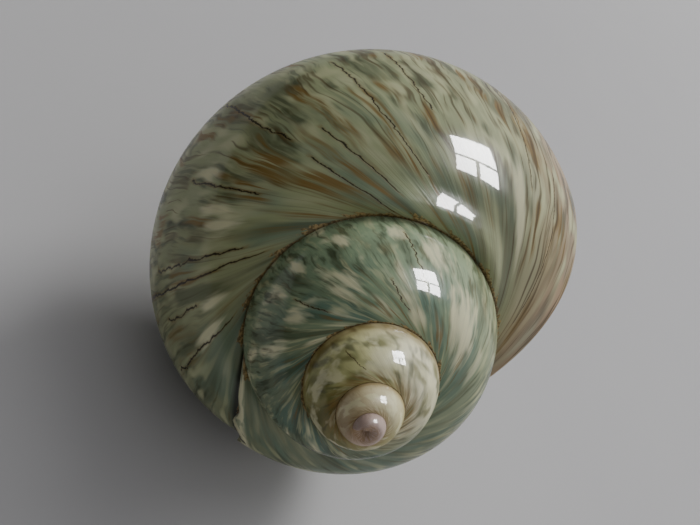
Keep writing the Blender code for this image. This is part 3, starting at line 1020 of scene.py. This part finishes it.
def paint_crust(paint):
    """Golden grains beside the suture and the top of the break, and the dark groove between whorls."""
    laid, angle, down = paint.laid, paint.angle, paint.down
    paint.grain = noise(laid, read_place(laid, GRAIN_SCALE), 3.0, 0.65)
    uneven = paint.field((angle, UNEVEN_LONG), (down, UNEVEN_DEEP), 7.0, 3.0, 0.6)
    off_scar = laid.math("ABSOLUTE", laid.math("SUBTRACT", angle, SCAR_CRUST_ANGLE))
    beside = laid.math("MINIMUM", down, laid.math("MULTIPLY_ADD", off_scar, CRUST_SPREAD, CRUST_START))
    reach = laid.math("MULTIPLY_ADD", paint.late, CRUST_REACH, CRUST_REACH)
    crust = place_group(laid, "suture crust", Down=beside, Grain=paint.grain, Cover=0.4,
                        Reach=laid.math("MULTIPLY", laid.band(uneven, 0.3, 0.7), reach))
    paint.crusted = crust["Mask"]
    grown = laid.band(angle, *CRUST_RISE)
    glint = laid.band(noise(laid, read_place(laid, GOLD_SCALE)), 0.4, 0.62)
    paint.lay(0.85, mixed(laid, glint, linear(*DULL_GOLD), linear(*BRIGHT_GOLD)), paint.crusted, grown)
    paint.lay(0.6, GROOVE_DARK, crust["Dark"], grown)


def paint_cracks(paint):
    """Dark, kinked cracks with a rust stain beside them."""
    laid, nearness = paint.laid, None
    drifted = laid.math("MULTIPLY", laid.math("SUBTRACT", paint.drift, 0.5), CRACK_DRIFT)
    stray = swayed(laid, paint.kink, CRACK_KINK, drifted)
    for at, slant, first, last, wobble, width in CRACKS:
        nearness = place_group(laid, "old crack", Angle=paint.angle, Down=paint.down, Stray=stray, At=at,
                               Lean=slant, From=first, To=last, Wobble=wobble, Width=width * CRACK_FINENESS,
                               Nearness_so_far=nearness)["Nearness"]
    worn = swayed(laid, paint.kink, CRACK_WEAR, nearness)
    paint.crack = laid.band(worn, 0.80, 0.92)
    paint.lay(0.45, RUST, laid.band(worn, 0.45, 0.85))
    paint.lay(0.92, CRACK_AND_SHADE_DARK, paint.crack)


def paint_wall(paint):
    """The wall inside the mouth that is the outside of the whorl before."""
    laid = paint.laid
    paint.lay(1.0, PALE_WALL, laid.band(paint.angle, *WALL_RISE), laid.band(paint.down, *WALL_BELOW))


print("crust grains to a centimetre:", GRAIN_SCALE / 100)

# %% Relief and polish
RIDGE_LONG, RIDGE_DEEP = 1.1, 60.0           # size of the growth ridges, in degrees
LUMP_SCALE = 520.0                           # lumps in a metre, beside the suture
LUMPS_BELOW = (15.0, 6.0)                    # degrees down over which they rise
RIDGE_HEIGHT, GRAIN_HEIGHT, LUMP_HEIGHT = 0.25, 0.8, 1.6      # shares of a full bump
COAT_FADE = (0.76, 0.28)                     # the coat is full where the skin faces the eye


def raise_relief(paint, shader):
    """Fine growth ridges, sunken cracks, raised grains, and lumps beside the suture."""
    laid = paint.laid
    ridges = paint.field((paint.angle, RIDGE_LONG), (paint.down, RIDGE_DEEP), 4.0)
    height = laid.math("MULTIPLY_ADD", ridges, RIDGE_HEIGHT, laid.math("MULTIPLY", paint.crack, -1.0))
    grains = laid.math("MULTIPLY", paint.crusted, paint.grain)
    height = laid.math("MULTIPLY_ADD", grains, GRAIN_HEIGHT, height)
    lumps = noise(laid, read_place(laid, LUMP_SCALE), 1.0)
    lumps = laid.math("MULTIPLY", lumps, laid.band(paint.down, *LUMPS_BELOW))
    height = laid.math("MULTIPLY_ADD", lumps, LUMP_HEIGHT, height)
    laid.feed(shader.inputs["Normal"], bumped(laid, height, 0.5))


def polish(paint, shader):
    """A clear coat, weaker towards the outline, where a full one would mirror too much floor."""
    laid = paint.laid
    laid.feed(shader.inputs["Roughness"], laid.math("MULTIPLY_ADD", paint.crusted, 0.35, 0.22))
    shader.inputs["Specular IOR Level"].default_value = 0.06
    edge_on = laid.node("ShaderNodeLayerWeight")
    edge_on.inputs["Blend"].default_value = 0.5
    coated = laid.math("MULTIPLY", laid.band(edge_on.outputs["Facing"], *COAT_FADE), 0.8)
    laid.feed(shader.inputs["Coat Weight"], coated)
    shader.inputs["Coat IOR"].default_value = 1.42
    shader.inputs["Coat Roughness"].default_value = 0.015


print("lumps to a centimetre:", LUMP_SCALE / 100)

# %% The finish of the outside
PAINT_STEPS = (paint_ages, paint_streaks, paint_lines, paint_early_whorls, paint_blotches, paint_scar,
               paint_crust, paint_cracks, paint_wall)


def outside_finish():
    """The polished skin, painted layer by layer."""
    made, laid, shader = new_material("polished_shell")
    paint = Paint(laid)
    for step in PAINT_STEPS:
        step(paint)
    laid.feed(shader.inputs["Base Color"], paint.colour)
    raise_relief(paint, shader)
    polish(paint, shader)
    return made


shell_finish = outside_finish()
print("shell finish nodes:", len(shell_finish.node_tree.nodes))

# %% [markdown]
# ## The mouth and the pillar
# Inside, a turban shell is mother-of-pearl: pale, smooth, with a faint play of pink and green.
# None of it shows in the picture, so this is what such shells have. The colours follow slow noise
# in object coordinates, which has no seam round the ring.

# %% Mother-of-pearl
def pearl_finish():
    """Smooth and pale, with a faint play of pink and green."""
    made, laid, shader = new_material("mother_of_pearl")
    wash = noise(laid, read_place(laid, 90.0), 3.0)
    colour = mixed(laid, laid.band(wash, 0.35, 0.65), linear(224, 214, 206), linear(206, 218, 206))
    pink = laid.math("MULTIPLY", laid.band(noise(laid, read_place(laid, 160.0)), 0.5, 0.7), 0.5)
    colour = mixed(laid, pink, colour, linear(226, 200, 200))
    laid.feed(shader.inputs["Base Color"], colour)
    ripple = noise(laid, read_place(laid, 420.0))
    laid.feed(shader.inputs["Normal"], bumped(laid, ripple, 0.25))
    laid.feed(shader.inputs["Roughness"], laid.math("MULTIPLY_ADD", ripple, 0.12, 0.16))
    shader.inputs["Coat Weight"].default_value = 0.6
    shader.inputs["Coat Roughness"].default_value = 0.05
    return made


mouth_finish = pearl_finish()
print("pearl finish nodes:", len(mouth_finish.node_tree.nodes))

# %% [markdown]
# ## Running the tree
# A modifier runs the tree on an object that starts empty. The evaluated copy of that object holds
# the result, which is kept as an ordinary mesh, so no modifier is left for the export to trip over.

# %% Run the winding and keep its mesh
def wind():
    """Runs the tree on a throwaway object and returns the mesh that it makes."""
    carrier = bpy.data.objects.new("winding", bpy.data.meshes.new("winding"))
    bpy.context.scene.collection.objects.link(carrier)
    step = carrier.modifiers.new("wind a shell", "NODES")
    step.node_group = tree
    step[sockets["Lip"].identifier] = lip
    step[sockets["Shell finish"].identifier] = shell_finish
    step[sockets["Mouth finish"].identifier] = mouth_finish
    graph = bpy.context.evaluated_depsgraph_get()
    mesh = bpy.data.meshes.new_from_object(carrier.evaluated_get(graph), preserve_all_data_layers=True,
                                           depsgraph=graph)
    bpy.data.objects.remove(carrier, do_unlink=True)
    for slot in reversed(range(len(mesh.materials))):
        if mesh.materials[slot] is None:
            mesh.materials.pop(index=slot)
    return mesh


shell_mesh = wind()
shell_mesh.name = "wound_shell"
for spare in ("growth", "down"):
    layer = shell_mesh.attributes.get(spare)
    if layer:
        shell_mesh.attributes.remove(layer)
shell_mesh.transform(REST)
wound_shell = bpy.data.objects.new("wound_shell", shell_mesh)
bpy.context.scene.collection.objects.link(wound_shell)
bpy.data.objects.remove(lip, do_unlink=True)
print("maps:", [layer.name for layer in shell_mesh.uv_layers])

# %% Check the wound shell
checked = bmesh.new()
checked.from_mesh(shell_mesh)
print("wound shell:", sum(len(face.verts) - 2 for face in checked.faces), "triangles, open edges",
      sum(1 for edge_line in checked.edges if len(edge_line.link_faces) != 2),
      "volume cm3", round(checked.calc_volume(signed=True) * 1000000, 2))
checked.free()
for number, finish in enumerate(shell_mesh.materials):
    faces = sum(1 for face in shell_mesh.polygons if face.material_index == number)
    print(finish.name, "on", faces, "faces")

# %% [markdown]
# ## The core and the pillar
# The whorls wind round a hollow, and the solid fills it with a core that widens from the tip. A
# pillar leans from the core to the foot of the lip, where the mouth shows it. Both are turned
# shapes: a profile of radii and depths, carried round an axis.

# %% Shapes of the core and the pillar
CORE_SPREAD, CORE_TOP, CORE_DEPTH, CORE_FOOT = 13.0, 0.0024, 0.0385, 0.0080
PILLAR_TOP, PILLAR_BASE = Vector((0.0, 0.0, -0.0285)), Vector((0.0066, 0.0004, -0.0655))
PILLAR_RADIUS, PILLAR_WAIST, PILLAR_FOOT = 0.0090, 0.0050, 0.0050
TURNED_SIDES, TURNED_ROWS = 64, 60
THINNEST = 0.000001          # a ring that is thinner than this is one point


def blunted(share):
    """Rounds off the last of a turned shape."""
    return math.sqrt(max(0.0, 1.0 - max(0.0, share) ** 2))


def core_radius(depth):
    """The core widens with its depth below the tip and is rounded off at the foot."""
    widening = depth * math.tan(math.radians(CORE_SPREAD))
    return widening * blunted((depth - CORE_DEPTH + CORE_FOOT) / CORE_FOOT)


def pillar_radius(depth, length):
    """The pillar narrows to its waist and is rounded off at the base."""
    narrowed = eased(depth / (length - PILLAR_FOOT))
    radius = PILLAR_RADIUS + (PILLAR_WAIST - PILLAR_RADIUS) * narrowed
    return radius * blunted((depth - length + PILLAR_FOOT) / PILLAR_FOOT)


def turned_ring(shape, radius, depth, place):
    """One ring of a turned solid, or its end point."""
    if radius < THINNEST:
        return [shape.verts.new(place @ Vector((0.0, 0.0, -depth)))]
    turns = [math.tau * side / TURNED_SIDES for side in range(TURNED_SIDES)]
    return [shape.verts.new(place @ Vector((radius * math.cos(turn), radius * math.sin(turn), -depth)))
            for turn in turns]


def turn_solid(shape, profile, place):
    """Adds a closed, turned solid to a mesh, from radii and depths."""
    rings = [turned_ring(shape, radius, depth, place) for radius, depth in profile]
    for upper, lower in zip(rings, rings[1:]):
        for side in range(TURNED_SIDES):
            after = (side + 1) % TURNED_SIDES
            corners = [upper[side % len(upper)], lower[side % len(lower)],
                       lower[after % len(lower)], upper[after % len(upper)]]
            shape.faces.new([vert for number, vert in enumerate(corners) if vert not in corners[:number]])


print("the core widens by", CORE_SPREAD, "degrees to either side")

# %% The columella
def make_columella():
    """The core and the leaning pillar, as one piece."""
    shape = bmesh.new()
    steps = [math.sin(math.pi / 2.0 * row / TURNED_ROWS) for row in range(TURNED_ROWS + 1)]
    depths = [CORE_TOP + (CORE_DEPTH - CORE_TOP) * step for step in steps]
    turn_solid(shape, [(0.0, CORE_TOP)] + [(core_radius(depth), depth) for depth in depths], REST)
    length = (PILLAR_BASE - PILLAR_TOP).length
    pillar = [(pillar_radius(length * step, length), length * step) for step in steps]
    way = (PILLAR_TOP - PILLAR_BASE).to_track_quat("Z", "Y").to_matrix().to_4x4()
    turn_solid(shape, [(0.0, 0.0)] + pillar, REST @ Matrix.Translation(PILLAR_TOP) @ way)
    bmesh.ops.recalc_face_normals(shape, faces=shape.faces)
    mesh = bpy.data.meshes.new("columella")
    shape.to_mesh(mesh)
    shape.free()
    for face in mesh.polygons:
        face.use_smooth = True
    mesh.materials.append(mouth_finish)
    made = bpy.data.objects.new("columella", mesh)
    bpy.context.scene.collection.objects.link(made)
    return made


columella = make_columella()
print("columella:", len(columella.data.polygons), "faces")

# %% [markdown]
# ## The floor, the light and the camera
# The shell lies on plain pale paper near a window. The polish mirrors the window sharply, and the
# broad daylight that it throws makes the soft shadow. The rest of the room is a soft grey.

# %% The floor
FLOOR_HALF = 3.0             # half the width of the paper, in metres


def make_floor():
    """A sheet of pale paper with a faint unevenness."""
    shape = bmesh.new()
    bmesh.ops.create_grid(shape, x_segments=1, y_segments=1, size=FLOOR_HALF)
    mesh = bpy.data.meshes.new("floor")
    shape.to_mesh(mesh)
    shape.free()
    made = bpy.data.objects.new("floor", mesh)
    bpy.context.scene.collection.objects.link(made)
    finish, laid, shader = new_material("pale_paper")
    tint = noise(laid, read_place(laid, 30.0), 3.0)
    laid.feed(shader.inputs["Base Color"], mixed(laid, tint, linear(180, 179, 180), linear(184, 183, 183)))
    shader.inputs["Roughness"].default_value = 0.75
    shader.inputs["Specular IOR Level"].default_value = 0.2
    mesh.materials.append(finish)
    return made


floor = make_floor()
print("floor", 2 * FLOOR_HALF, "m wide")

# %% [markdown]
# ## The camera
# The camera was fitted to the picture together with the growth law, so it is given by its place and
# by the directions that run right and down in the picture. Blender's camera looks along its own
# negative Z axis, so its matrix takes the right, the up and the backward direction as columns.

# %% The camera
FOCAL_LENGTH, PICTURE_WIDTH = 600.0, 700.0       # both in pixels of the picture
CAMERA_PLACE = Vector((0.0013, -0.06198, 0.07783))
RIGHT = Vector((0.7287, 0.4742, 0.4941))
DOWN = Vector((0.6848, -0.5046, -0.5257))
FORWARD = RIGHT.cross(DOWN)
view = bpy.data.cameras.new("view")
view.sensor_width = 36.0
view.lens = FOCAL_LENGTH / PICTURE_WIDTH * view.sensor_width
view.clip_start = 0.001
camera = bpy.data.objects.new("view", view)
bpy.context.scene.collection.objects.link(camera)
facing_matrix = Matrix((RIGHT, -DOWN, -FORWARD)).transposed().to_4x4()
camera.matrix_world = Matrix.Translation(CAMERA_PLACE) @ facing_matrix
bpy.context.scene.camera = camera
print("camera looks along", [round(value, 3) for value in FORWARD])

# %% [markdown]
# ## The light
# A mirrored window is small and sharp, and daylight is broad and soft. So two kinds of area light
# share the work: the panes are seen only in reflections, and the daylight lights the colours and
# throws the shadow without being mirrored.

# %% The window
WINDOW_WAY = Vector((0.3146, 0.287, 0.819)).normalized()      # from the shell to the window
WINDOW_UP = Vector((-0.60, 0.72, 0.0))
WINDOW_FAR = 1.4
WINDOW_WIDE, WINDOW_HIGH = 0.44, 0.72
UPPER_SHARE = 0.52           # the upper pane's share of the height
BAR = 0.04                   # width of the bars between panes
WINDOW_RAISED = 0.16
WINDOW_GLOW = 90.0


def make_window():
    """One broad upper pane over two lower ones, each facing the shell. The polish mirrors them."""
    up = (WINDOW_UP - WINDOW_WAY * WINDOW_UP.dot(WINDOW_WAY)).normalized()
    middle = WINDOW_WAY * WINDOW_FAR + up * WINDOW_RAISED
    side = up.cross(WINDOW_WAY)
    turn = Matrix((side, up, WINDOW_WAY)).transposed().to_4x4()
    upper = WINDOW_HIGH * UPPER_SHARE
    lower = WINDOW_HIGH - upper - BAR
    half = (WINDOW_WIDE - BAR) / 2.0
    panes = (
        (0.0, (WINDOW_HIGH - upper) / 2.0, WINDOW_WIDE, upper),
        (-(half + BAR) / 2.0, (lower - WINDOW_HIGH) / 2.0, half, lower),
        ((half + BAR) / 2.0, (lower - WINDOW_HIGH) / 2.0, half, lower),
    )
    for across, rise, wide, tall in panes:
        pane = make_light("pane", middle + side * across + up * rise, turn, wide, tall, WINDOW_GLOW)
        pane.visible_diffuse = False


def make_light(name, place, turn, wide, tall, glow):
    """An area light whose face gives out some radiance."""
    light = bpy.data.lights.new(name, "AREA")
    light.shape = "RECTANGLE"
    light.size, light.size_y = wide, tall
    light.energy = glow * math.pi * wide * tall
    made = bpy.data.objects.new(name, light)
    bpy.context.scene.collection.objects.link(made)
    made.matrix_world = Matrix.Translation(place) @ turn
    return made


make_window()
print("window", WINDOW_FAR, "m away")

# %% The daylight that it throws
DAYLIGHT_WAY = Vector((0.14, 0.74, 0.54)).normalized()
DAYLIGHT_FAR, DAYLIGHT_SIZE, DAYLIGHT_GLOW = 2.4, 0.95, 15.5
daylight_turn = DAYLIGHT_WAY.to_track_quat("Z", "Y").to_matrix().to_4x4()
daylight = make_light("daylight", DAYLIGHT_WAY * DAYLIGHT_FAR, daylight_turn,
                      DAYLIGHT_SIZE, DAYLIGHT_SIZE, DAYLIGHT_GLOW)
daylight.visible_glossy = False
print("daylight from", [round(value, 2) for value in DAYLIGHT_WAY])

# %% The room
ROOM_WAY = Vector((0.62, 0.52, 0.42)).normalized()
ROOM_DARK, ROOM_LIGHT = 0.03, 0.84
ROOM_RISE = (-0.35, 1.0)                 # cosines off the window's way over which the room lightens
ROOM_TINT = (0.97, 0.97, 1.0, 1.0)


def make_room():
    """A grey room that is lighter towards the window."""
    made = bpy.data.worlds.new("room")
    made.use_nodes = True
    laid = Bench(made.node_tree)
    way = laid.tree.nodes.new("ShaderNodeTexCoord").outputs["Generated"]
    facing_share = laid.tree.nodes.new("ShaderNodeVectorMath")
    facing_share.operation = "DOT_PRODUCT"
    laid.feed(facing_share.inputs[0], way)
    laid.feed(facing_share.inputs[1], tuple(ROOM_WAY))
    towards = laid.band(facing_share.outputs["Value"], *ROOM_RISE)
    glow = laid.math("MULTIPLY_ADD", towards, ROOM_LIGHT - ROOM_DARK, ROOM_DARK)
    background = made.node_tree.nodes["Background"]
    background.inputs["Color"].default_value = ROOM_TINT
    laid.feed(background.inputs["Strength"], glow)
    bpy.context.scene.world = made


make_room()
print("room glow from", ROOM_DARK, "to", ROOM_LIGHT)

# %% [markdown]
# ## Hand over
# Each visible piece rides the body of the imported model and replaces its plain solid.

# %% Hand over to the frame
for piece in (wound_shell, columella):
    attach(piece, "root")
    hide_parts("turban_shell")
